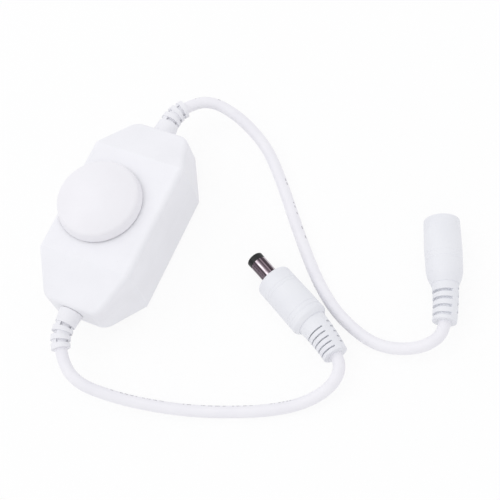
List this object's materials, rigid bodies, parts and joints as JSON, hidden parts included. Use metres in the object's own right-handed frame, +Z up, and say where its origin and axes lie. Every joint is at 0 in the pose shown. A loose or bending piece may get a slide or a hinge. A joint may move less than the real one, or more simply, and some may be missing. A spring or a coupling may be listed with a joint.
{
  "type": "rotary led dimmer controller",
  "caption": "White inline rotary dimmer with tapered casing, round domed knob, a cord to a coaxial plug and a cord to a coaxial jack.",
  "frame": {"origin": "centre of the casing's flat underside, on the surface it stands on", "axes": "+X along the casing towards the end whose cord leads to the jack, +Y across it towards the side the knob overhangs, +Z up through the knob"},
  "size_m": [0.1086, 0.1296, 0.0313],
  "materials": {
    "casing": "fine matt white moulding",
    "knob_plastic": "smooth satin white moulding",
    "zinc_screw": "zinc plated",
    "aluminium_shaft": "turned",
    "black_phenolic": "moulded",
    "spring_brass": "stamped",
    "spring_steel": "stamped",
    "plated_steel": "plated sheet",
    "brown_laminate": "paper laminate with carbon film",
    "tinned_metal": "tinned",
    "green_laminate": "lacquered board",
    "black_moulding": "moulded package",
    "capacitor_sleeve": "shrunk sleeve",
    "tan_ceramic": "fired ceramic",
    "solder": "solder",
    "red_insulation": "extruded",
    "black_insulation": "extruded",
    "cord_jacket": "extruded soft jacket",
    "relief_rubber": "soft white moulding",
    "connector_moulding": "soft white moulding",
    "nickel_barrel": "nickel plated",
    "black_insulator": "moulded",
    "white_liner": "moulded"
  },
  "bodies": {
    "housing": {"top_casing": "casing", "bottom_casing": "casing", "casing_screws": "zinc_screw", "pot_body": "black_phenolic", "pot_front_plate": "plated_steel", "pot_track": "brown_laminate", "pot_terminals": "tinned_metal", "circuit_board": "green_laminate", "board_screws": "zinc_screw", "power_transistor": "black_moulding", "transistor_legs": "tinned_metal", "control_chip": "black_moulding", "chip_pins": "tinned_metal", "filter_capacitor": "capacitor_sleeve", "capacitor_leads": "tinned_metal", "diode": "black_moulding", "diode_ends": "tinned_metal", "resistors": "black_moulding", "ceramic_capacitors": "tan_ceramic", "solder_joints": "solder", "input_positive_wire": "red_insulation", "input_negative_wire": "black_insulation", "output_positive_wire": "red_insulation", "output_negative_wire": "black_insulation", "input_jacket_end": "cord_jacket", "output_jacket_end": "cord_jacket", "input_strain_relief": "relief_rubber", "output_strain_relief": "relief_rubber", "input_cord": "cord_jacket", "output_cord": "cord_jacket", "plug_body": "connector_moulding", "plug_barrel": "nickel_barrel", "plug_insulator": "black_insulator", "plug_centre_contact": "spring_brass", "jack_body": "connector_moulding", "jack_liner": "white_liner", "jack_centre_pin": "nickel_barrel", "jack_spring_contact": "spring_brass"},
    "knob": {"dimmer_knob": "knob_plastic", "pot_shaft": "aluminium_shaft", "pot_rotor": "black_phenolic", "pot_wiper": "spring_brass", "pot_retaining_ring": "spring_steel"}
  },
  "joints": [
    {"name": "knob_turn", "type": "hinge", "parent": "housing", "child": "knob", "pos_m": [0, 0.0039, 0.0251], "axis": [0, 0, -1], "range_deg": [0, 300]}
  ]
}
